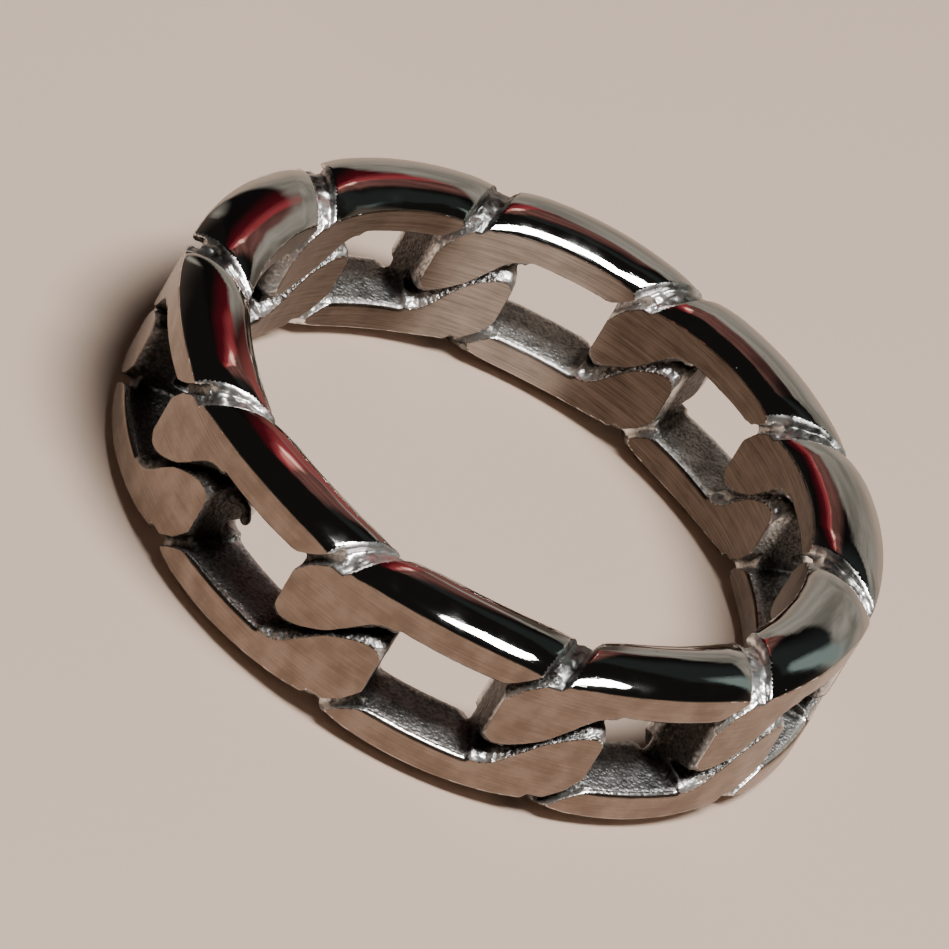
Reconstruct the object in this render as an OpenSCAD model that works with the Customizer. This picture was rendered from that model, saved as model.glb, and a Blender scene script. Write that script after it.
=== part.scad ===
// Chain link ring: a rigid cast band of flat-cut curb links, fused where they meet.
// Millimetres. The ring's axis is Z, and it lies on its lower crests at Z = 0.
// The first link's middle is on +X, and the links follow each other counterclockwise.

/* [Band] */
// Inside diameter, for the finger
inner_d = 19; // [15:0.5:23]
// Wall from the flat-cut inside face to the flat-cut outside face
wall = 2.4; // [1.8:0.1:3]
// Width of the band over the crests of the bars
band_w = 6; // [5:0.1:8]
// Links around the band
link_count = 10; // [8:1:12]

/* [Links] */
// Width of a bar's flat-cut face beside its window
bar_w = 1; // [0.7:0.05:1.4]
// Height of a bar's polished dome over the edges of its flat-cut faces
dome_rise = 0.5; // [0.3:0.05:0.7]
// How much lower a bar's ends lie than its middle
bar_arch = 0.2; // [0.05:0.05:0.4]
// Width between two windows, where two links cross
crossing_w = 3.3; // [2.6:0.1:3.8]
// Depth of the S-shaped groove between two crossing links
groove_depth = 1; // [0.4:0.05:1.1]

/* [Joints] */
// Width of the joint strip between two bars' ends
joint_w = 0.55; // [0.3:0.05:0.9]
// Angle that a joint strip leans across the wall
joint_lean = 31; // [0:1:40]
// Depth of a joint strip under the bars' ends
joint_recess = 0.2; // [0.1:0.05:0.4]
// Depth of the seam beside a bar's pointed end
seam_depth = 0.35; // [0.1:0.05:0.8]

/* [Casting nub] */
// Diameter of the nub that the casting left in one window
nub_d = 0.5; // [0.3:0.05:0.7]
// How far the nub stands out of the window's side wall
nub_len = 0.8; // [0.4:0.1:1.2]
// Link that holds the nub, counted from the one on +X
nub_link = 6; // [0:1:7]

/* [Hidden] */
$fn = 96;

inner_r = inner_d / 2;
outer_r = inner_r + wall;
mid_r = inner_r + wall / 2;
pitch = 360 / link_count;

// The dome is an arc over the wall's thickness
dome_r = (wall * wall / 4 + dome_rise * dome_rise) / (2 * dome_rise);
dome_z = band_w / 2 - dome_r;
window_top = band_w / 2 - dome_rise - bar_w;
crossing_half = asin(crossing_w / 2 / mid_r);

// A bar bends around the finger and also arches upwards, so its tube is a slightly tilted ring
bend = 1 / mid_r;
arch_bend = 2 * bar_arch / pow(mid_r * sin(pitch / 2), 2);
bar_r = 1 / sqrt(bend * bend + arch_bend * arch_bend);
bar_tilt = atan2(arch_bend, bend);
spare = 1;

// Lower edge of a link's round end, from its tip in the window to where its bar begins:
// along as a share of half the crossing's width, up as a share of the window's half height
end_edge = [
    [-1.04,  0.00],
    [-0.97, -0.22],
    [-0.83, -0.36],
    [-0.61, -0.33],
    [-0.41, -0.24],
    [-0.18, -0.09],
    [ 0.00,  0.06],
    [ 0.16,  0.26],
    [ 0.33,  0.48],
    [ 0.55,  0.79],
    [ 0.77,  0.95],
    [ 1.04,  1.00]
];

// Seam between a bar's pointed end and the next link's round end, once around:
// along as above, up as a share of the bar's face over the window's edge
seam_edge = [
    [-1.25,  0.00],
    [-1.10,  0.10],
    [-0.90,  0.34],
    [-0.77,  0.52],
    [-0.49,  1.02],
    [-0.33,  1.30],
    [-0.18,  1.30],
    [-0.35,  1.00],
    [-0.56,  0.69],
    [-0.81,  0.19],
    [-1.04, -0.55],
    [-1.25, -0.55]
];

// Outlines on the outside face, and the same outlines the other way round on the inside face
function face_r(inside) = inside ? inner_r : outer_r;
function along(share, inside) = (inside ? -1 : 1) * face_r(inside) * sin(share * crossing_half);
function into_window(inside) = inside ? -spare / 2 : spare / 2;
function end_points(inside) = concat(
    [[along(-1, inside) - into_window(inside), 0]],
    [for (p = end_edge) [along(p[0], inside), p[1] * window_top]],
    [[along(1, inside) + into_window(inside), window_top]]
);
function turned(points) = [for (p = points) -p];
function groove_points(inside) = concat(end_points(inside), turned(end_points(inside)));
function seam_points(inside) =
    [for (p = seam_edge) [along(p[0], inside), window_top + p[1] * bar_w]];

module around(first = 0) {
    for (i = [0 : link_count - 1]) rotate([0, 0, (i + first) * pitch]) children();
}

// Its own shape and the same shape turned half a turn about the link's radial line
module both_ways() {
    children();
    rotate([180, 0, 0]) children();
}

// A cut into the outside face or the inside face on +X, drawn as seen from outside
module face_cut(points, depth, inside) {
    from_r = inside ? inner_r - spare : outer_r - depth;
    translate([from_r, 0, 0]) rotate([90, 0, 90]) linear_extrude(depth + spare) polygon(points);
}

// Plan of one bar, from the joint strip at its left to the one at its right
module bar_plan() {
    reach = wall / 2 + dome_r;
    function strip_point(side, out) =
        let (turn = side * pitch / 2, lean = turn - joint_lean)
        mid_r * [cos(turn), sin(turn)]
        - side * joint_w / 2 * [-sin(lean), cos(lean)]
        + out * reach * [cos(lean), sin(lean)];
    polygon([strip_point(-1, -1), strip_point(-1, 1), strip_point(1, 1), strip_point(1, -1)]);
}

// The domed upper bar of the link on +X
module upper_bar() {
    intersection() {
        linear_extrude(band_w) bar_plan();
        translate([mid_r - bar_r * cos(bar_tilt), 0, dome_z - bar_r * sin(bar_tilt)])
            rotate([0, -bar_tilt, 0])
                rotate([0, 0, -pitch])
                    rotate_extrude(angle = 2 * pitch) translate([bar_r, 0]) circle(dome_r);
    }
}

// The wall without windows, with its edges as low as the joint strips
module joint_core() {
    strip_z = dome_z - bar_arch - joint_recess;
    rotate_extrude() translate([mid_r, 0]) union() {
        square([2 * dome_r, 2 * strip_z], center = true);
        translate([0, strip_z]) circle(dome_r);
        translate([0, -strip_z]) circle(dome_r);
    }
}

// The band before it is pierced
module domed_band() {
    difference() {
        intersection() {
            cylinder(h = 2 * band_w, r = outer_r, center = true);
            union() {
                joint_core();
                around() both_ways() upper_bar();
            }
        }
        cylinder(h = 3 * band_w, r = inner_r, center = true);
    }
}

module window() {
    half = pitch / 2 - crossing_half;
    near = inner_r - spare;
    far = (outer_r + spare) / cos(half);
    translate([0, 0, -window_top]) linear_extrude(2 * window_top)
        polygon([near * [cos(half), -sin(half)], far * [cos(half), -sin(half)],
                 far * [cos(half), sin(half)], near * [cos(half), sin(half)]]);
}

// Cuts every crossing's S-shaped groove and its two seams into one face of the band
module crossings_cut(inside) {
    difference() {
        difference() {
            children();
            around(0.5) face_cut(groove_points(inside), groove_depth, inside);
        }
        around(0.5) both_ways() face_cut(seam_points(inside), seam_depth, inside);
    }
}

// A drop of metal on a window's side wall, left by the casting
module casting_nub() {
    wall_turn = pitch / 2 - crossing_half;
    rotate([0, 0, nub_link * pitch - wall_turn]) translate([mid_r, -nub_d / 2, window_top / 4]) {
        rotate([-90, 0, 0]) cylinder(h = nub_d / 2 + nub_len, d = nub_d);
        translate([0, nub_d / 2 + nub_len, 0]) sphere(d = nub_d);
    }
}

module chain_link_band() {
    color("silver") translate([0, 0, band_w / 2]) {
        crossings_cut(inside = true) crossings_cut(inside = false) difference() {
            domed_band();
            around() window();
        }
        casting_nub();
    }
}

chain_link_band();
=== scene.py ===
# Chain link ring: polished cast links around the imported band, on a pale floor.
# Shapes are worked out in millimetres and turned into metres when a mesh is made.
# One crossing of two links is worked out with its middle on +X and Z = 0 at half the band's width,
# and the band is that crossing turned ten times about Z.

import math

import bpy
import numpy as np
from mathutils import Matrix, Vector, noise


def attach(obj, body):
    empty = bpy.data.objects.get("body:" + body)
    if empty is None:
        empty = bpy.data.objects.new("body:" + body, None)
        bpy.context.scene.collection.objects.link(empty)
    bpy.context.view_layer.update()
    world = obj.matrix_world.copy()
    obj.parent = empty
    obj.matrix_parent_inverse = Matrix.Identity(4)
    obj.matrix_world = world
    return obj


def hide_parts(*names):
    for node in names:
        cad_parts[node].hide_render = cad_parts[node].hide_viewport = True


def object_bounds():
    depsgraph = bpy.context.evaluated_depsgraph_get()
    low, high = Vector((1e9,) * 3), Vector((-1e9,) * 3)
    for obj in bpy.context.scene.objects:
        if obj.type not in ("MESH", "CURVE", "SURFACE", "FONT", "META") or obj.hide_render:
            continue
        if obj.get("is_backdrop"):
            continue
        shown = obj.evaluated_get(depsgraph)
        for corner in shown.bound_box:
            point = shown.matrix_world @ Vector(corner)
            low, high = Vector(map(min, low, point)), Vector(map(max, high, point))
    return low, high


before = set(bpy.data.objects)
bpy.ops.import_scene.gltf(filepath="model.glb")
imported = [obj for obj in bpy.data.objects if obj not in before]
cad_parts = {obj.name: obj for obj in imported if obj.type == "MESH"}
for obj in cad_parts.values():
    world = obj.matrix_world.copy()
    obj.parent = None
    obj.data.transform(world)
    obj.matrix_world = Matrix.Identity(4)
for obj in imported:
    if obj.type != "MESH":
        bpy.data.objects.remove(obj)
cad_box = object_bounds()

MM = 0.001
TINY = 1e-12

# The band
INNER_R = 9.5
OUTER_R = 11.9
MID_R = (INNER_R + OUTER_R) / 2
WALL = OUTER_R - INNER_R
HALF_W = 3.0
LINKS = 10
PITCH = 2 * math.pi / LINKS

# The bars: a link's bar is lowest at its ends, and droops a little more beside a joint strip
BAR_W = 1.0
DOME_RISE = 0.5
BAR_ARCH = 0.2
END_DROOP = 0.10
DROOP_REACH = 0.9
DOME_R = (WALL * WALL / 4 + DOME_RISE * DOME_RISE) / (2 * DOME_RISE)
DOME_Z = HALF_W - DOME_R
WINDOW_TOP = HALF_W - DOME_RISE - BAR_W

# The crossings and the joints in them
CROSSING_W = 3.3
CROSSING_TURN = math.asin(CROSSING_W / 2 / MID_R)
CROSSING_HALF = OUTER_R * math.sin(CROSSING_TURN)
GROOVE_DEPTH = 1.0
SEAM_DEPTH = 0.42
JOINT_W = 0.55
JOINT_LEAN = math.radians(31)
JOINT_RECESS = 0.27

# How far a groove's walls lean in, at its narrow middle and at its wide ends, and how deep the lean goes
OUTSIDE_LEAN = (0.05, 0.36, 0.30)
INSIDE_LEAN = (0.15, 0.36, 0.24)
MIDDLE_TO_END = 0.6 * CROSSING_HALF

# Rounding of edges and corners. A window's edge gets rounder towards its ledges: that starts UNDER_LEDGE
# short of a ledge, and is full LEDGE_RAMP further on
CUT_EDGE = 0.04
SIDE_WALL_EDGE = 0.05
LEDGE_EDGE = 0.20
UNDER_LEDGE = 0.25
LEDGE_RAMP = 0.2
GROOVE_EDGE = 0.05
BAR_END_EDGE = 0.20
WINDOW_CORNER = 0.16
GROOVE_FLOOR_CORNER = 0.15
SEAM_FLOOR_CORNER = 0.08
JOINT_FILLET = 0.06

# Lumps of the cast surfaces: height, width, how many finer sizes they hold, and a shift of their pattern
RECESS_LUMPS = (0.018, 0.3, 3, 0)
GROOVE_RIM_LUMPS = (0.055, 0.19, 2, 20)
STRIP_LUMPS = (0.085, 0.42, 2, 40)
STRIP_GRAIN = (0.015, 0.14, 1, -40)
NUB_LUMPS = (0.025, 0.22, 2, 0)

# Lower edge of a link's round end, from its tip in the window to where its bar begins:
# along as a share of half the crossing, up as a share of the window's half height
END_EDGE = (
    (-1.04, 0.00),
    (-0.97, -0.22),
    (-0.83, -0.36),
    (-0.61, -0.33),
    (-0.41, -0.24),
    (-0.18, -0.09),
    (0.00, 0.06),
    (0.16, 0.26),
    (0.33, 0.48),
    (0.55, 0.79),
    (0.77, 0.95),
    (1.04, 1.00),
)

# Seam between a bar's pointed end and the next link's round end, once around:
# along as above, up as a share of the bar's face over the window's edge
SEAM_EDGE = (
    (-1.25, 0.00),
    (-1.10, 0.10),
    (-0.90, 0.34),
    (-0.77, 0.52),
    (-0.49, 1.02),
    (-0.33, 1.30),
    (-0.18, 1.30),
    (-0.18, 1.00),
    (-0.43, 0.62),
    (-0.77, 0.15),
    (-1.04, -0.55),
    (-1.25, -0.55),
)

# The casting nub in one window: the link that it is in, its middle line from the window's side wall
# (along, up), and its radius at shares of that line
NUB_LINK = 6
NUB_LINE = ((-0.25, 0.0), (-0.05, 0.0), (0.12, 0.02), (0.32, 0.04), (0.52, 0.0), (0.66, -0.12), (0.72, -0.28))
NUB_SHARES = (0, 0.25, 0.45, 0.8, 1)
NUB_RADII = (0.30, 0.28, 0.15, 0.14, 0.17)
NUB_SIDES = 24

# A corner's normal is taken this share of the way to its quad's middle, so that edges stay crisp
INSET = 0.35

# Surfaces of the band, and finishes of its quads in the order of their materials
TOPS, OUTSIDE, INSIDE, WINDOW, GROOVE, SEAM = range(6)
POLISHED, FLAT_CUT, CAST, SOLDER, WORN = range(5)


# Outlines
def through(points, steps=3):
    """A smooth open line through the points."""
    points = np.array(points, float)
    padded = np.vstack([2 * points[0] - points[1], points, 2 * points[-1] - points[-2]])
    line = []
    for a, b, c, d in zip(padded, padded[1:], padded[2:], padded[3:]):
        for step in range(steps):
            s = step / steps
            square = (2 * a - 5 * b + 4 * c - d) * s * s
            cube = (3 * b - a - 3 * c + d) * s**3
            line.append(0.5 * (2 * b + (c - a) * s + square + cube))
    return np.array(line + [points[-1]])


def groove_line():
    """Outline of an S-shaped groove: a round end's edge and its neighbour's, carried on into both windows."""
    edge = through(END_EDGE) * [CROSSING_HALF, WINDOW_TOP]
    edge = np.vstack([edge[0] - [1, 0], edge, edge[-1] + [1, 0]])
    return np.vstack([edge, -edge])


GROOVE_LINE = groove_line()
SEAM_LINE = np.array(SEAM_EDGE) * [CROSSING_HALF, BAR_W] + [0, WINDOW_TOP]


def outline_distance(across, up, corners):
    """Distance to a closed outline, below zero inside it."""
    nearest = np.full(across.shape, np.inf)
    inside = np.zeros(across.shape, bool)
    for (ax, ay), (bx, by) in zip(corners, np.roll(corners, -1, axis=0)):
        ex, ey = bx - ax, by - ay
        wx, wy = across - ax, up - ay
        share = np.clip((wx * ex + wy * ey) / (ex * ex + ey * ey + TINY), 0, 1)
        nearest = np.minimum(nearest, (wx - ex * share) ** 2 + (wy - ey * share) ** 2)
        crosses = (ay > up) != (by > up)
        left = (wx * ey - wy * ex) * (1 if ey > 0 else -1) < 0
        inside ^= crosses & left
    return np.where(inside, -1, 1) * np.sqrt(nearest)


# The solid, as distances that are below zero in the metal
def both(a, b, edge):
    """What lies in a and in b, with its edge rounded."""
    past = np.hypot(np.maximum(a + edge, 0), np.maximum(b + edge, 0))
    return np.minimum(np.maximum(a, b), -edge) + past


def either(a, b, fillet):
    """What lies in a or in b, with a fillet where they meet."""
    return -both(-a, -b, fillet)


def dome(out, z, centre_z):
    """A bar's or a strip's cross-section: round above its centre's height, straight below it."""
    return np.where(z > centre_z, np.hypot(out, z - centre_z), np.abs(out)) - DOME_R


def crown(x, y, z):
    """Upper limit of the band near a crossing: two bars' domes and the joint strip between them.
    With it come the strip's distance less the bars' distance, and the place across the strip."""
    r = np.hypot(x, y)
    turn = np.arctan2(y, x)
    out = r - MID_R
    off_strip = out * math.sin(JOINT_LEAN) + r * turn * math.cos(JOINT_LEAN)
    from_link = PITCH / 2 - np.abs(turn)
    near_end = np.clip(1 - (np.abs(off_strip) - JOINT_W / 2) / DROOP_REACH, 0, 1)
    drop = BAR_ARCH * (np.sin(from_link) / math.sin(PITCH / 2)) ** 2 + END_DROOP * near_end**2
    bar = dome(out, z, DOME_Z - drop)
    right = both(bar, JOINT_W / 2 - off_strip, BAR_END_EDGE)
    left = both(bar, JOINT_W / 2 + off_strip, BAR_END_EDGE)
    bars = np.minimum(right, left)
    strip = dome(out, z, DOME_Z - BAR_ARCH - JOINT_RECESS)
    return either(bars, strip, JOINT_FILLET), strip - bars, off_strip


def face_cuts(r, y, z):
    """The grooves and the seams that are cut into both faces of the wall."""
    far = 9.0
    margin = 0.3
    groove, seam = np.full(r.shape, far), np.full(r.shape, far)
    outside = (1, OUTER_R - r, OUTSIDE_LEAN)
    inside = (-OUTER_R / INNER_R, r - INNER_R, INSIDE_LEAN)
    for flip, face, (middle_lean, end_lean, lean_depth) in (outside, inside):
        near = face < GROOVE_DEPTH + margin
        if not near.any():
            continue
        across, up, depth = flip * y[near], z[near], face[near]
        to_end = np.clip(np.abs(across) / MIDDLE_TO_END, 0, 1) ** 2
        lean = middle_lean + (end_lean - middle_lean) * to_end
        lean = lean * (1 - np.exp(-np.maximum(depth, 0) / lean_depth))
        wall = outline_distance(across, up, GROOVE_LINE) + lean
        cut = both(wall, depth - GROOVE_DEPTH, GROOVE_FLOOR_CORNER)
        groove[near] = np.minimum(groove[near], cut)
        for half in (1, -1):
            wall = outline_distance(half * across, half * up, SEAM_LINE)
            cut = both(wall, depth - SEAM_DEPTH, SEAM_FLOOR_CORNER)
            seam[near] = np.minimum(seam[near], cut)
    return groove, seam


def surfaces(x, y, z):
    """Distances to each surface of the band near a crossing, in the order of their names above,
    and what crown says about the joint strip above or below."""
    r = np.hypot(x, y)
    from_side_wall = r * np.sin(CROSSING_TURN - np.abs(np.arctan2(y, x)))
    upper, upper_strip, off_upper = crown(x, y, z)
    lower, lower_strip, off_lower = crown(x, -y, -z)
    window = both(from_side_wall, np.abs(z) - WINDOW_TOP, WINDOW_CORNER)
    groove, seam = face_cuts(r, y, z)
    parts = (np.maximum(upper, lower), r - OUTER_R, INNER_R - r, -window, -groove, -seam)
    over_bars = np.where(z > 0, upper_strip, lower_strip)
    off_strip = np.where(z > 0, np.abs(off_upper), np.abs(off_lower))
    return parts, over_bars, off_strip


def metal(x, y, z):
    """Distance to the band's surface near a crossing, below zero in the metal."""
    (tops, outside, inside, window, groove, seam), _, _ = surfaces(x, y, z)
    on_ledge = np.clip((np.abs(z) - WINDOW_TOP + UNDER_LEDGE) / LEDGE_RAMP, 0, 1)
    body = both(tops, outside, CUT_EDGE)
    body = both(body, inside, CUT_EDGE)
    body = both(body, window, SIDE_WALL_EDGE + (LEDGE_EDGE - SIDE_WALL_EDGE) * on_ledge)
    body = both(body, groove, GROOVE_EDGE)
    return both(body, seam, GROOVE_EDGE)


def sources(points):
    """Which surface each point is on, whether that is a joint strip, and how far off a strip's middle."""
    parts, over_bars, off_strip = surfaces(*points.T)
    return np.argmax(np.stack(parts), axis=0), over_bars < 0, off_strip


def slope(points, reach=0.002):
    """Which way the distance grows fastest, at each point."""
    columns = []
    for axis in range(3):
        step = np.zeros(3)
        step[axis] = reach
        ahead, behind = (points + step).T, (points - step).T
        columns.append((metal(*ahead) - metal(*behind)) / (2 * reach))
    return np.stack(columns, axis=-1)


# The surface of one pitch, with one point in each grid cell that it passes through
LOW, HIGH = slice(0, -1), slice(1, None)


def spaced(*stretches):
    """Grid lines over stretches of (start, end, step)."""
    lines = []
    for start, end, step in stretches:
        count = max(1, round((end - start) / step))
        lines.extend(np.linspace(start, end, count, endpoint=False))
    return np.array(lines + [stretches[-1][1]])


def band_grid():
    """Grid lines around the ring, out from its axis and up, close together where edges run."""
    half = PITCH / 2
    near = CROSSING_TURN + 0.3 / MID_R
    coarse, fine = 0.19 / MID_R, 0.062 / MID_R
    around = spaced((-half, -near, coarse), (-near, near, fine), (near, half, coarse))
    past, skin = 0.09, 0.21
    out = spaced(
        (INNER_R - past, INNER_R + skin, 0.06),
        (INNER_R + skin, OUTER_R - skin, 0.11),
        (OUTER_R - skin, OUTER_R + past, 0.06),
    )
    under_ledge, over_ledge, joint_height, over_crest = 1.38, 1.62, 2.28, 3.06
    up = spaced(
        (0.0, under_ledge, 0.069),
        (under_ledge, over_ledge, 0.06),
        (over_ledge, joint_height, 0.066),
        (joint_height, over_crest, 0.06),
    )
    return around, out, np.concatenate([-up[:0:-1], up])


def cell_edges(axis):
    """The low and high ends of the four edges that each grid cell has along an axis."""
    first, second = (a for a in range(3) if a != axis)
    for at_first in (LOW, HIGH):
        for at_second in (LOW, HIGH):
            low = [LOW] * 3
            low[first], low[second] = at_first, at_second
            high = list(low)
            high[axis] = HIGH
            yield tuple(low), tuple(high)


def settled(points):
    """The points, moved onto the surface in a few short steps."""
    longest = 0.03
    for _ in range(4):
        grade = slope(points)
        steepness = np.maximum((grade**2).sum(axis=1), 0.2)
        move = grade * (metal(*points.T) / steepness)[:, None]
        points = points - np.clip(move, -longest, longest)
    return points


def cell_points(value, spot):
    """The surface's point in each cell that it passes through, and each cell's point number, or -1."""
    inside = value < 0
    cells = tuple(n - 1 for n in value.shape)
    total = np.zeros(cells + (3,))
    hits = np.zeros(cells)
    for axis in range(3):
        for low, high in cell_edges(axis):
            changes = inside[low] != inside[high]
            a, b = value[low], value[high]
            share = np.where(changes, a / np.where(changes, a - b, 1), 0)[..., None]
            place = spot[low] * (1 - share) + spot[high] * share
            total += np.where(changes[..., None], place, 0)
            hits += changes
    used = hits > 0
    number = np.full(cells, -1)
    number[used] = np.arange(used.sum())
    turn, r, z = (total[used] / hits[used][:, None]).T
    return settled(np.stack([r * np.cos(turn), r * np.sin(turn), z], axis=-1)), number


def cell_quads(value, number):
    """A quad around each grid edge that the surface crosses. backs marks corners that lie one pitch back,
    and columns gives a quad's place around."""
    inside = value < 0
    cells_around = number.shape[0]
    quads, backs, columns = [], [], []
    for axis in range(3):
        first, second = (a for a in range(3) if a != axis)
        low, high = [slice(None)] * 3, [slice(None)] * 3
        low[axis], high[axis] = LOW, HIGH
        starts = inside[tuple(low)]
        edge = np.argwhere(starts != inside[tuple(high)])
        keep = np.ones(len(edge), bool)
        for a in (first, second):
            keep &= edge[:, a] < value.shape[a] - 1
            if a != 0:
                keep &= edge[:, a] > 0
        edge = edge[keep]
        corners, wraps = [], []
        for by_first, by_second in ((-1, -1), (0, -1), (0, 0), (-1, 0)):
            cell = edge.copy()
            cell[:, first] += by_first
            cell[:, second] += by_second
            wrap = cell[:, 0] < 0
            cell[:, 0] = np.where(wrap, cells_around - 1, cell[:, 0])
            corners.append(number[tuple(cell.T)])
            wraps.append(wrap)
        corners, wraps = np.stack(corners, axis=1), np.stack(wraps, axis=1)
        flip = starts[tuple(edge.T)] != (axis == 1)
        corners[flip] = corners[flip][:, ::-1]
        wraps[flip] = wraps[flip][:, ::-1]
        quads.append(corners)
        backs.append(wraps)
        columns.append(edge[:, 0] + (0.5 if axis == 0 else 0) - cells_around / 2)
    return np.vstack(quads), np.vstack(backs), np.concatenate(columns)


def pitch_of_band():
    """Points and quads of one pitch of the band, with each quad's backs and column."""
    turn, r, z = np.meshgrid(*band_grid(), indexing="ij")
    value = metal(r * np.cos(turn), r * np.sin(turn), z)
    points, number = cell_points(value, np.stack([turn, r, z], axis=-1))
    return points, *cell_quads(value, number)


# The whole band
def turned(points, angle):
    """The points, turned about Z."""
    c, s = math.cos(angle), math.sin(angle)
    return points @ np.array([[c, s, 0], [-s, c, 0], [0, 0, 1]])


def unit(vectors):
    """The same directions, each of length 1."""
    return vectors / np.linalg.norm(vectors, axis=-1, keepdims=True)


def lumps(points, height, width, detail, shift):
    """Smooth bumps of about that width, about that high and as deep below zero."""
    return height * np.array([noise.fractal(Vector(p) / width, 0.6, 2.0, detail) for p in points + shift])


def quad_finishes(centre):
    """The finish of quads with these centres."""
    solder_spill, worn_width = 0.14, 0.16
    source, on_strip, off_strip = sources(centre)
    joint = on_strip | (off_strip <= JOINT_W / 2 + solder_spill)
    r = np.hypot(centre[:, 0], centre[:, 1])
    by_face = np.minimum(OUTER_R - r, r - INNER_R) < worn_width
    on_ledge = np.abs(centre[:, 2]) > WINDOW_TOP - 0.1
    finish = np.full(len(centre), CAST)
    finish[(source == OUTSIDE) | (source == INSIDE)] = FLAT_CUT
    finish[(source == WINDOW) & by_face & on_ledge] = WORN
    finish[(source == TOPS) & ~joint] = POLISHED
    finish[(source == TOPS) & joint] = SOLDER
    return finish


def lumpy_shares(points):
    """How far each point takes the lumps of the recesses, of the grooves' rims and of the joint strips."""
    source, _, off_strip = sources(points)
    r = np.hypot(points[:, 0], points[:, 1])
    in_wall = np.minimum(OUTER_R - r, r - INNER_R)
    off_face = np.clip((in_wall - 0.02) / 0.12, 0, 1)
    rim = (source != WINDOW) * np.clip(1.6 - in_wall / 0.25, 0, 1)
    recess = np.isin(source, (WINDOW, GROOVE, SEAM)) * off_face
    strip = (source == TOPS) * np.clip((JOINT_W / 2 + 0.17 - off_strip) / 0.2, 0, 1) * off_face
    return recess, rim, strip


def whole_band():
    """All the ring's points, quads and corner normals in millimetres, each quad's finish and link,
    and how lumpy each point is."""
    points, quads, backs, columns = pitch_of_band()
    corners = np.where(backs[..., None], turned(points, -PITCH)[quads], points[quads])
    centre = corners.mean(axis=1)
    finish = quad_finishes(centre)
    inset = corners * (1 - INSET) + centre[:, None] * INSET
    normals = unit(slope(inset.reshape(-1, 3)))
    outward = unit(slope(points))
    recess, rim, strip = lumpy_shares(points)
    pitches = []
    for k in range(LINKS):
        angle = (k + 0.5) * PITCH
        here = turned(points, angle)
        push = recess * (lumps(here, *RECESS_LUMPS) + rim * lumps(here, *GROOVE_RIM_LUMPS))
        push += strip * (lumps(here, *STRIP_LUMPS) + lumps(here, *STRIP_GRAIN))
        here = here + turned(outward, angle) * push[:, None]
        own_quads = quads + len(points) * (np.where(backs, k - 1, k) % LINKS)
        pitches.append((here, own_quads, turned(normals, angle), finish, (columns > 0) + k))
    points, quads, normals, finish, link = (np.concatenate(part) for part in zip(*pitches))
    rough = np.tile(recess + strip, LINKS)
    return points, quads, normals.reshape(-1, 4, 3), finish, link % LINKS, rough


# The ring's pieces
def lumpy_normals(points, quads, normals, rough):
    """The exact normals, giving way to the mesh's own where it is lumpy."""
    flat = np.cross(points[quads[:, 2]] - points[quads[:, 0]], points[quads[:, 3]] - points[quads[:, 1]])
    lumpy = np.zeros_like(points)
    for corner in range(4):
        np.add.at(lumpy, quads[:, corner], flat)
    lumpy /= np.linalg.norm(lumpy, axis=1, keepdims=True) + TINY
    share = np.clip(rough, 0, 1)[quads][..., None]
    return normals * (1 - share) + lumpy[quads] * share


def open_ends(quads):
    """Loops of corners along the open edges, turned so that a face on them closes the shape."""
    starts, ends = quads.ravel(), np.roll(quads, -1, axis=1).ravel()
    known = set(zip(starts.tolist(), ends.tolist()))
    follow = {b: a for a, b in known if (b, a) not in known}
    loops = []
    while follow:
        at = next(iter(follow))
        loop = []
        while at in follow:
            loop.append(at)
            at = follow.pop(at)
        loops.append(loop)
    return loops


def link_mesh(name, points, quads, normals, finish, materials):
    """One link, closed by a cap in each neighbour."""
    used, quads = np.unique(quads, return_inverse=True)
    quads = quads.reshape(-1, 4)
    caps = open_ends(quads)
    mesh = bpy.data.meshes.new(name)
    mesh.from_pydata(points[used].tolist(), [], quads.tolist() + caps)
    mesh.polygons.foreach_set("material_index", np.append(finish, [CAST] * len(caps)))
    mesh.polygons.foreach_set("use_smooth", np.ones(len(quads) + len(caps), bool))
    for material in materials:
        mesh.materials.append(material)
    mesh.update()
    corner_normals = normals.reshape(-1, 3).tolist()
    for cap, polygon in zip(caps, mesh.polygons[len(quads) :]):
        corner_normals += [list(polygon.normal)] * len(cap)
    mesh.normals_split_custom_set(corner_normals)
    return mesh


def in_scene(name, data):
    """An object with this data, put into the scene."""
    made = bpy.data.objects.new(name, data)
    bpy.context.scene.collection.objects.link(made)
    return made


def link_pieces(materials):
    """The band as ten links, which stand for its one solid."""
    points, quads, normals, finish, link, rough = whole_band()
    normals = lumpy_normals(points, quads, normals, rough)
    points = (points + [0, 0, HALF_W]) * MM
    for k in range(LINKS):
        own = link == k
        name = f"link_{k + 1}"
        piece = in_scene(name, link_mesh(name, points, quads[own], normals[own], finish[own], materials))
        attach(piece, "root")
        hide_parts("chain_link_band")


def nub_rings():
    """Middle, direction and radius of each ring of the casting nub, along its line and over its round tip."""
    line = through(NUB_LINE)
    radii = np.interp(np.linspace(0, 1, len(line)), NUB_SHARES, NUB_RADII)
    ahead = unit(np.gradient(line, axis=0))
    rings = list(zip(line, ahead, radii))
    tip, tip_ahead, tip_radius = rings[-1]
    for turn in (25, 50, 70, 85):
        t = math.radians(turn)
        rings.append((tip + tip_ahead * tip_radius * math.sin(t), tip_ahead, tip_radius * math.cos(t)))
    return rings


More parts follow.
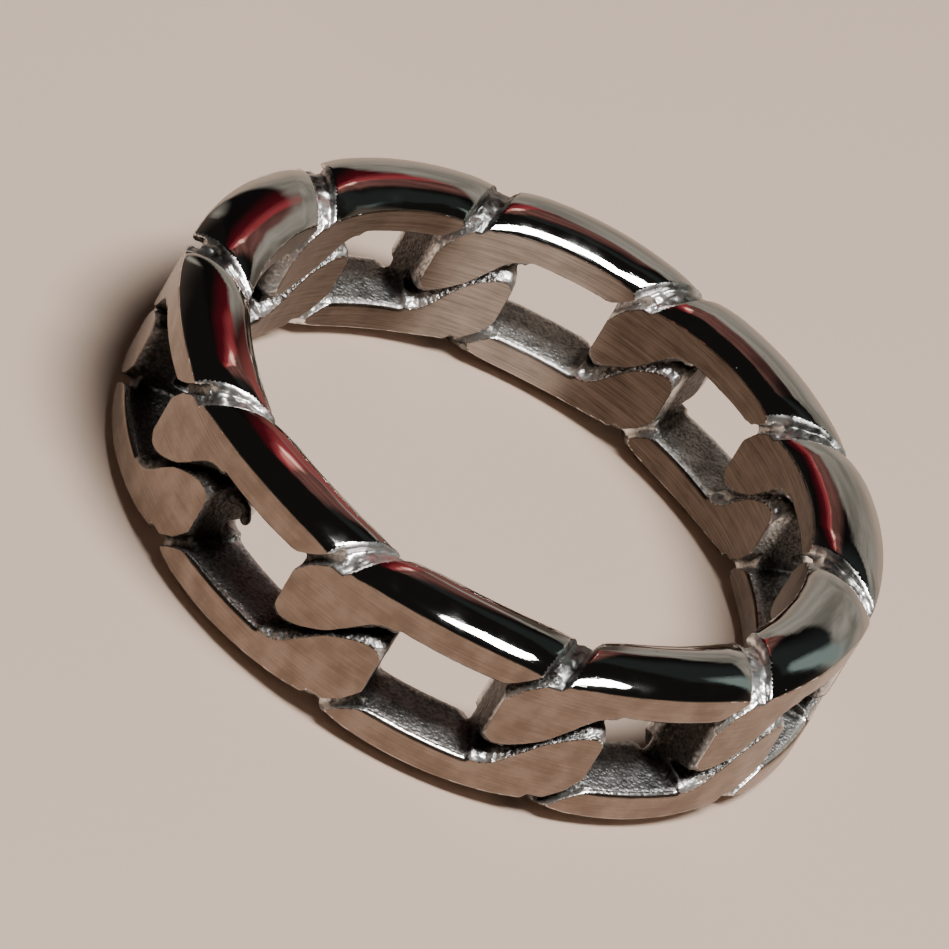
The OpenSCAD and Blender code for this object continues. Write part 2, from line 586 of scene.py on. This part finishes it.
def casting_nub(material):
    """A drop of metal that the casting left on a window's side wall, bent down at its end."""
    wall = NUB_LINK * PITCH - PITCH / 2 + CROSSING_TURN
    outward = np.array([math.cos(wall), math.sin(wall), 0])
    along = np.array([-math.sin(wall), math.cos(wall), 0])
    upward = np.array([0.0, 0.0, 1.0])
    foot = MID_R * outward + (HALF_W + WINDOW_TOP / 4) * upward
    rings = nub_rings()
    points = []
    for (a, b), (ahead_a, ahead_b), radius in rings:
        across = upward * ahead_a - along * ahead_b
        for i in range(NUB_SIDES):
            t = 2 * math.pi * i / NUB_SIDES
            around = outward * math.cos(t) + across * math.sin(t)
            points.append(foot + along * a + upward * b + radius * around)
    points = np.array(points)
    points = points + lumps(points, *NUB_LUMPS)[:, None] * outward
    faces = []
    for j in range(len(rings) - 1):
        here, there = j * NUB_SIDES, (j + 1) * NUB_SIDES
        for i in range(NUB_SIDES):
            n = (i + 1) % NUB_SIDES
            faces.append([here + i, there + i, there + n, here + n])
    faces.append(list(range(NUB_SIDES)))
    faces.append([(len(rings) - 1) * NUB_SIDES + i for i in reversed(range(NUB_SIDES))])
    mesh = bpy.data.meshes.new("casting_nub")
    mesh.from_pydata((points * MM).tolist(), [], faces)
    mesh.polygons.foreach_set("use_smooth", np.ones(len(faces), bool))
    mesh.materials.append(material)
    mesh.update()
    nub = in_scene("casting_nub", mesh)
    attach(nub, "root")


# Node trees
class Signal:
    """A socket in a node tree. Arithmetic on it adds the Math nodes."""

    def __init__(self, board, socket):
        self.board, self.socket = board, socket

    def math(self, operation, *values):
        return self.board.node("ShaderNodeMath", {"operation": operation}, dict(enumerate(values)))

    def __add__(self, other):
        return self.math("ADD", self, other)

    def __sub__(self, other):
        return self.math("SUBTRACT", self, other)

    def __rsub__(self, other):
        return self.math("SUBTRACT", other, self)

    def __mul__(self, other):
        return self.math("MULTIPLY", self, other)

    def __truediv__(self, other):
        return self.math("DIVIDE", self, other)

    def __rtruediv__(self, other):
        return self.math("DIVIDE", other, self)

    def __pow__(self, other):
        return self.math("POWER", self, other)

    __radd__ = __add__
    __rmul__ = __mul__

    def at_least(self, other):
        return self.math("MAXIMUM", self, other)

    def at_most(self, other):
        return self.math("MINIMUM", self, other)

    def between(self, low, high):
        """0 at low and 1 at high, with a smooth rise."""
        return self.board.node(
            "ShaderNodeMapRange",
            {"interpolation_type": "SMOOTHSTEP"},
            {"Value": self, "From Min": low, "From Max": high},
        )


def as_colour(colour):
    """A Signal as it is, or three numbers with an alpha of 1."""
    return colour if isinstance(colour, Signal) else (*colour, 1)


class Board:
    """A node tree that is filled one node at a time."""

    def __init__(self, tree):
        self.tree = tree
        tree.nodes.clear()

    def node(self, kind, settings=None, values=None, out=0):
        made = self.tree.nodes.new(kind)
        for name, setting in (settings or {}).items():
            setattr(made, name, setting)
        for name, value in (values or {}).items():
            if isinstance(value, Signal):
                self.tree.links.new(value.socket, made.inputs[name])
            else:
                made.inputs[name].default_value = value
        return Signal(self, made.outputs[out])

    def finish(self, kind, last):
        """Ends the tree in its output node."""
        output = self.tree.nodes.new(kind)
        self.tree.links.new(last.socket, output.inputs["Surface"])

    def mix(self, share, low, high):
        """A colour between two colours. A Mix node holds them in sockets 6 and 7, and gives socket 2."""
        values = {0: share, 6: as_colour(low), 7: as_colour(high)}
        return self.node("ShaderNodeMix", {"data_type": "RGBA"}, values, out=2)

    def xyz(self, vector):
        """The three numbers of a vector."""
        split = self.node("ShaderNodeSeparateXYZ", {}, {"Vector": vector}).socket.node
        return [Signal(self, part) for part in split.outputs]

    def vector(self, x, y, z):
        return self.node("ShaderNodeCombineXYZ", {}, {"X": x, "Y": y, "Z": z})

    def dot(self, vector, direction):
        operation = {"operation": "DOT_PRODUCT"}
        return self.node("ShaderNodeVectorMath", operation, {0: vector, 1: direction}, out="Value")

    def millimetres(self):
        """The place on the object in millimetres."""
        place = self.node("ShaderNodeTexCoord", out="Object")
        return self.node("ShaderNodeVectorMath", {"operation": "SCALE"}, {0: place, "Scale": 1 / MM})


def speckle(board, mm, per_mm, detail=2.0, rough=0.5):
    """Noise from 0 to 1."""
    values = {"Vector": mm, "Scale": per_mm, "Detail": detail, "Roughness": rough}
    return board.node("ShaderNodeTexNoise", {}, values)


def crystals(board, mm, per_mm):
    """Distance to the nearest of some scattered spots."""
    return board.node("ShaderNodeTexVoronoi", {}, {"Vector": mm, "Scale": per_mm})


def relief(board, height, depth_mm, under=None):
    """A normal from a height of 0 to 1 that stands for that many millimetres."""
    values = {"Height": height, "Distance": depth_mm * MM, "Strength": 1.0}
    if under is not None:
        values["Normal"] = under
    return board.node("ShaderNodeBump", {}, values)


# The finishes, each of which says what goes into a metal's shader
def steel(name, finish):
    """A metal whose colour, roughness and relief come from the given function."""
    made = bpy.data.materials.new(name)
    made.use_nodes = True
    board = Board(made.node_tree)
    look = finish(board, board.millimetres())
    shader = board.node("ShaderNodeBsdfPrincipled", {}, {"Metallic": 1.0, **look})
    board.finish("ShaderNodeOutputMaterial", shader)
    return made


def band_place(board, mm):
    """Millimetres around the ring, out from its axis and up."""
    x, y, z = board.xyz(mm)
    around = y.math("ARCTAN2", y, x) * MID_R
    return around, (x * x + y * y) ** 0.5, z


def painted_highlight_joints(board, mm, out):
    """1 at the joints that get painted highlights, which are all but the two on the Y axis, and 0 at those
    two.
    """
    _, y, _ = board.xyz(mm)
    along_y = y / out
    return 1 - (along_y * along_y).between(0.8, 0.97)


def mirror_polish(board, mm):
    """Domes: a mirror with soft waves, faint smudges and scratches and a few pits."""
    around, out, up = band_place(board, mm)
    smudge = speckle(board, mm, 0.9, 3.0).between(0.45, 0.8)
    lines = board.vector(around * 0.7, out * 9.0, up * 9.0)
    scratch = speckle(board, lines, 1.0, 4.0, 0.7).between(0.55, 0.8)
    pit = 1 - crystals(board, mm, 1.1).between(0.015, 0.05)
    waves = relief(board, speckle(board, mm, 0.55, 1.0), 0.035)
    return {
        "Base Color": board.mix(pit, (0.62, 0.605, 0.585), (0.50, 0.49, 0.47)),
        "Roughness": 0.035 + 0.07 * smudge + 0.06 * scratch + 0.35 * pit,
        "Normal": relief(board, 0.9 - pit + 0.1 * scratch, 0.006, waves),
    }


def brushed_cut(board, mm):
    """Flat-cut faces: fine lines along the bars over a soft gloss. Inside the ring they are duller and
    painted darker as shade, with a painted sheen at the side that faces the camera."""
    around, out, up = band_place(board, mm)
    inside = 1 - (out - INNER_R).between(0.1, 0.3)
    fine = speckle(board, board.vector(around * 0.6, up * 15.0, out), 1.0, 3.0, 0.6)
    cloud = speckle(board, mm, 1.1, 3.0)
    tone = fine * (0.35 + 0.3 * inside) + cloud * (0.65 - 0.3 * inside)
    inside_tone = tone.between(0.26, 0.74)
    outer = board.mix(tone.between(0.34, 0.66), (0.19, 0.147, 0.119), (0.305, 0.248, 0.210))
    # Inside the ring the faces are painted dark as shade, and paler near +Y as a painted sheen.
    dull = board.mix(inside_tone, (0.060, 0.046, 0.037), (0.165, 0.133, 0.110))
    pale = board.mix(inside_tone, (0.22, 0.20, 0.18), (0.46, 0.43, 0.40))
    painted_sheen_side = board.dot(mm, (0.17, 0.985, 0)) / out
    inner = board.mix(painted_sheen_side.between(0.935, 0.995), dull, pale)
    ripples = relief(board, speckle(board, mm, 1.7, 1.0), 0.02)
    return {
        "Base Color": board.mix(inside, outer, inner),
        "Roughness": 0.15 + 0.14 * fine + 0.06 * cloud + 0.08 * inside,
        "Normal": relief(board, fine, 0.004, ripples),
    }


def side_shade_and_oxide(board, mm, out):
    """How dark the recesses are, from 0 to 0.85: painted shade that grows towards -X, and oxide, sparing the
    inner face.
    """
    x, _, _ = board.xyz(mm)
    return 0.85 * (0 - x).between(1.0, 12.5) * (out - INNER_R).between(0.2, 1.0)


def cast_skin(board, mm):
    """Window walls and grooves: grainy casting, with a painted highlight by the cut faces and where it faces
    up, ledges painted lighter as if lit from above, painted shade where it is deep, painted shade and oxide
    towards -X, and smooth drops of metal at the grooves' ends painted white as glints."""
    around, out, up = band_place(board, mm)
    from_outside, from_inside = OUTER_R - out, out - INNER_R
    height = up - HALF_W
    from_middle = (height * height) ** 0.5
    half_pitch = PITCH * MID_R / 2
    window_half = half_pitch - CROSSING_TURN * MID_R
    from_window_middle = around.math("PINGPONG", around, half_pitch)
    window = 1 - from_window_middle.between(window_half - 0.5, window_half - 0.1)
    ledge = from_middle.between(WINDOW_TOP - 0.2, WINDOW_TOP - 0.04) * window
    by_seam = from_middle.between(1.75, 2.35) * (1 - window)
    groove_end = 1 - from_window_middle.between(window_half + 0.4, window_half + 1.0)
    groove_end = groove_end.at_least(from_middle.between(1.6, 2.0))
    _, _, facing_up = board.xyz(board.node("ShaderNodeNewGeometry", out="Normal"))

    grain = speckle(board, mm, 8.0, 3.0, 0.65)
    cloud = speckle(board, mm, 1.6, 3.0)
    crystal = crystals(board, mm, 7.0)
    patch = (speckle(board, mm, 1.3, 2.0) + 0.16 * groove_end).between(0.42, 0.54)

    ragged = 0.25 * grain
    painted_highlight_depth = 0.6 - 0.35 * window
    deep = from_outside.between(0.02, 0.25 + ragged) * from_inside.between(0.05, painted_highlight_depth + ragged)
    # Painted highlight: lighter near the cut faces and most where the surface faces up, as if lit from above,
    # and dark deeper in as painted shade. By the seams at the joints it is painted in patches.
    painted_highlight = (1 - deep) * (0.12 + 0.88 * facing_up.between(-0.45, 0.15))
    painted_highlight = painted_highlight.at_least(by_seam * patch * painted_highlight_joints(board, mm, out))
    # black is painted shade towards -X with oxide, and it takes the painted highlight away.
    black = side_shade_and_oxide(board, mm, out)
    painted_highlight = painted_highlight * (1 - black)
    # drop: smooth spots at the grooves' ends, painted white as glints.
    drop = painted_highlight * groove_end * patch

    mottled = grain.between(0.3, 0.7)
    # The walls are painted dark as shade and the ledges lighter as if lit from above.
    shaded_wall_tone = board.mix(mottled, (0.036, 0.033, 0.030), (0.125, 0.118, 0.112))
    shade_and_oxide_tone = board.mix(mottled, (0.020, 0.019, 0.018), (0.075, 0.072, 0.069))
    clouded = (0.55 * grain + 0.45 * cloud).between(0.3, 0.72)
    lit_ledge_tone = board.mix(clouded, (0.08, 0.081, 0.08), (0.46, 0.462, 0.456))
    painted_highlight_tone = board.mix(grain.between(0.42, 0.62), (0.15, 0.147, 0.142), (0.78, 0.77, 0.75))
    tone = board.mix(ledge, shaded_wall_tone, lit_ledge_tone)
    tone = board.mix(black, tone, shade_and_oxide_tone)
    tone = board.mix(painted_highlight, tone, painted_highlight_tone)
    bumps = (grain + 0.7 * crystal) * (0.6 + 1.3 * painted_highlight + 0.6 * ledge) * (1 - 0.85 * drop)
    return {
        "Base Color": board.mix(drop, tone, (0.97, 0.96, 0.94)),
        "Roughness": 0.42 + 0.15 * cloud - 0.12 * painted_highlight - 0.04 * drop,
        "Normal": relief(board, bumps, 0.045),
    }


def joint_bead(board, mm):
    """Joint strips: lumpy dark solder, with painted highlights at its ends and in patches."""
    _, out, _ = band_place(board, mm)
    from_mid = out - MID_R
    ends = (from_mid * from_mid).between(0.2, 0.8)
    grain = speckle(board, mm, 3.0, 2.0, 0.5)
    crystal = crystals(board, mm, 2.6)
    # The bright patches are painted highlights, at the strip's ends and in noise patches, kept off the two
    # joints on the Y axis.
    patch = speckle(board, mm, 0.45, 1.0).between(0.38, 0.58).at_least(0.9 * ends)
    patch = patch * painted_highlight_joints(board, mm, out)
    dull = board.mix(grain.between(0.3, 0.6), (0.07, 0.071, 0.068), (0.25, 0.253, 0.245))
    bright = board.mix(grain.between(0.28, 0.5), (0.45, 0.44, 0.43), (0.94, 0.93, 0.91))
    return {
        "Base Color": board.mix(patch, dull, bright),
        "Roughness": 0.32 + 0.1 * grain - 0.06 * patch,
        "Normal": relief(board, (0.7 * grain + 0.6 * crystal) * (1 - 0.4 * patch), 0.05),
    }


def worn_edge(board, mm):
    """Edges of the bars at the windows, rubbed bright outside the ring and duller inside it."""
    _, out, _ = band_place(board, mm)
    inside = 1 - (out - INNER_R).between(0.3, 0.6)
    grain = speckle(board, mm, 6.0, 2.0)
    bright = board.mix(grain.between(0.3, 0.5), (0.62, 0.61, 0.59), (0.92, 0.91, 0.89))
    dull = board.mix(grain.between(0.35, 0.6), (0.34, 0.335, 0.33), (0.78, 0.775, 0.76))
    return {
        "Base Color": board.mix(inside, bright, dull),
        "Roughness": 0.16 + 0.16 * grain + 0.25 * inside,
        "Normal": relief(board, grain, 0.025),
    }


# The floor
def sheet(name, corners):
    """A flat sheet that isn't part of the ring, and the board of its material."""
    mesh = bpy.data.meshes.new(name)
    mesh.from_pydata((np.array(corners) * MM).tolist(), [], [(0, 1, 2, 3)])
    made = in_scene(name, mesh)
    paint = bpy.data.materials.new(name)
    paint.use_nodes = True
    mesh.materials.append(paint)
    made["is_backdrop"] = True
    return made, Board(paint.node_tree)


def floor():
    size = 3000
    _, board = sheet("floor", [(-size, -size, 0), (size, -size, 0), (size, size, 0), (-size, size, 0)])
    paint = {"Base Color": as_colour((0.575, 0.435, 0.35)), "Roughness": 0.7}
    board.finish("ShaderNodeOutputMaterial", board.node("ShaderNodeBsdfPrincipled", {}, paint))


# Cards for the domes to mirror, which only reflections see. Each is an upright sheet, and a place on it
# is its x or y and its height in millimetres.
def card(name, start, end, bottom, top):
    """A card over the line from start to end. It gives the board of its material and the place on it."""
    corners = [(*start, bottom), (*end, bottom), (*end, top), (*start, top)]
    made, board = sheet(name, corners)
    made.visible_camera = made.visible_diffuse = made.visible_shadow = False
    return board, board.xyz(board.millimetres())


def glow(board, share, colour):
    """Lets a card glow in a colour where its share is 1, and be clear where it is 0."""
    light = board.node("ShaderNodeEmission", {}, {"Color": as_colour(colour)})
    clear = board.node("ShaderNodeBsdfTransparent")
    shader = board.node("ShaderNodeMixShader", {}, {0: share, 1: clear, 2: light})
    board.finish("ShaderNodeOutputMaterial", shader)


def side_card():
    """A large card behind the ring and to its right: tan below, a red streak that leans over it between
    crimson and rose, black and slate beyond, and a green patch at its far end."""
    board, (x, _, z) = card("side_card", (-14, 32.9), (42, -3.1), 0, 60)

    def spot(away, height, squash, inner, outer):
        """1 within a soft-edged oval and 0 outside it."""
        up = (z - height) * squash
        return 1 - ((away * away + up * up) ** 0.5).between(inner, outer)

    black = (0.008, 0.007, 0.007)
    slate = (0.026, 0.032, 0.030)
    crimson = (0.40, 0.058, 0.068)
    brushed = speckle(board, board.vector(x * 0.14, z * 0.2, 0.0), 1.0, 3.0).between(0.25, 0.75)
    off_streak = x - 7.0 + 0.306 * (z - 12.0)
    left = board.mix(off_streak.between(-12.0, -3.0), black, (0.10, 0.008, 0.014))
    left = board.mix(off_streak.between(-4.5, -0.8), left, crimson)
    rose = board.mix(brushed, (0.10, 0.040, 0.038), (0.27, 0.125, 0.105))
    beyond = board.mix((x + z).between(36.0, 52.0), black, slate)
    right = board.mix(off_streak.between(3.5, 9.5), rose, beyond)
    colour = board.mix(off_streak.between(-0.2, 0.9), left, right)
    colour = board.mix(spot(off_streak, 35.0, 0.10, 0.3, 1.5), colour, (0.95, 0.33, 0.28))
    colour = board.mix(spot(off_streak, 28.5, 0.35, 0.3, 1.6), colour, (2.1, 1.2, 1.0))
    tan = board.mix(brushed, (0.20, 0.187, 0.158), (0.47, 0.435, 0.38))
    tan = board.mix(z.between(3.0, 12.0), (0.58, 0.44, 0.345), tan)
    over_tan = z - 0.9 * x.at_most(0.0) - 0.3 * x.at_least(0.0).at_most(15.0)
    colour = board.mix(over_tan.between(14.0, 17.0), tan, colour)
    colour = board.mix(spot(x - 34.0, 26.0, 0.32, 2.5, 6.5), colour, (0.26, 0.335, 0.315))
    share = x.between(-14.0, -10.0) * (1 - x.between(36.0, 42.0)) * (1 - z.between(50.0, 60.0))
    glow(board, share, colour)


def red_card():
    """A small card over the ring's middle, which the front left bars mirror."""
    board, (x, _, z) = card("red_card", (-8.5, 3.7), (4.5, -3.7), 5, 10)
    colour = board.mix(x.between(-8.0, -5.6), (0.03, 0.006, 0.007), (0.36, 0.095, 0.085))
    colour = board.mix(x.between(-3.4, -0.8), colour, (0.25, 0.105, 0.09))
    colour = board.mix(x.between(-0.2, 2.2), colour, (0.10, 0.08, 0.065))
    across = x.between(-8.4, -7.4) * (1 - x.between(3.0, 4.4))
    glow(board, across * z.between(5.6, 6.0) * (1 - z.between(8.2, 9.2)), colour)


def grey_card():
    """A small card beside the red one, for the inner side of the back left bars."""
    board, (_, y, z) = card("grey_card", (-0.5, 4.5), (-2.3, 9.3), 6, 11)
    across = y.between(4.6, 5.4) * (1 - y.between(7.4, 8.3))
    glow(board, across * z.between(6.1, 6.4) * (1 - z.between(8.0, 9.4)), (0.125, 0.108, 0.085))


# The light
# Soft areas of the room: azimuth and height in degrees, where each is full and where it ends in degrees
# from its middle, and its colour
ROOM_AREAS = (
    (60, -8, 20, 30, (0.46, 0.385, 0.315)),
    (82, 8, 12, 18, (0.46, 0.425, 0.37)),
    (24, 12, 7, 16, (0.13, 0.135, 0.11)),
)


def toward(azimuth, height):
    """A unit vector in a direction given in degrees."""
    a, h = math.radians(azimuth), math.radians(height)
    return Vector((math.cos(h) * math.cos(a), math.cos(h) * math.sin(a), math.sin(h)))


def studio():
    """A dim room around the floor, with a few soft areas that the domes mirror."""
    world = bpy.data.worlds.new("studio")
    bpy.context.scene.world = world
    world.use_nodes = True
    board = Board(world.node_tree)
    look = board.node("ShaderNodeTexCoord", out="Generated")
    _, _, height = board.xyz(look)
    colour = board.mix(height.between(-0.02, 0.5), (0.10, 0.078, 0.064), (0.012, 0.011, 0.010))
    for azimuth, high, full, end, tint in ROOM_AREAS:
        line = board.dot(look, toward(azimuth, high))
        share = line.between(math.cos(math.radians(end)), math.cos(math.radians(full)))
        colour = board.mix(share, colour, tint)
    back = board.node("ShaderNodeBackground", {}, {"Color": colour, "Strength": 1.0})
    board.finish("ShaderNodeOutputWorld", back)


def strip_light():
    """A long soft light that hangs level over the ring, with its place and size in metres."""
    lamp = bpy.data.lights.new("strip_light", "AREA")
    lamp.shape = "ELLIPSE"
    lamp.size, lamp.size_y = 0.285, 0.118
    lamp.energy = 4.4
    lamp.color = (1, 0.985, 0.96)
    in_scene("strip_light", lamp).location = (0.083, -0.142, 0.44)


# The camera: place in millimetres, turn in degrees, lens and sensor in millimetres
CAMERA_AT = (-119.009, -248.633, 186.848)
CAMERA_TURN = (52.1044, -25.2957, -7.0169)
LENS = 410.93
SENSOR_W = 36


def camera():
    data = bpy.data.cameras.new("camera")
    data.lens, data.sensor_width = LENS, SENSOR_W
    made = in_scene("camera", data)
    made.location = Vector(CAMERA_AT) * MM
    made.rotation_euler = [math.radians(a) for a in CAMERA_TURN]
    return made


# The scene
finishes = [
    steel("polished_dome", mirror_polish),
    steel("flat_cut_face", brushed_cut),
    steel("cast_recess", cast_skin),
    steel("joint_solder", joint_bead),
    steel("worn_edge", worn_edge),
]
link_pieces(finishes)
casting_nub(finishes[CAST])
floor()
side_card()
red_card()
grey_card()
studio()
strip_light()
bpy.context.scene.camera = camera()

[[list(map(float, corner)) for corner in box] for box in (cad_box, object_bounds())]
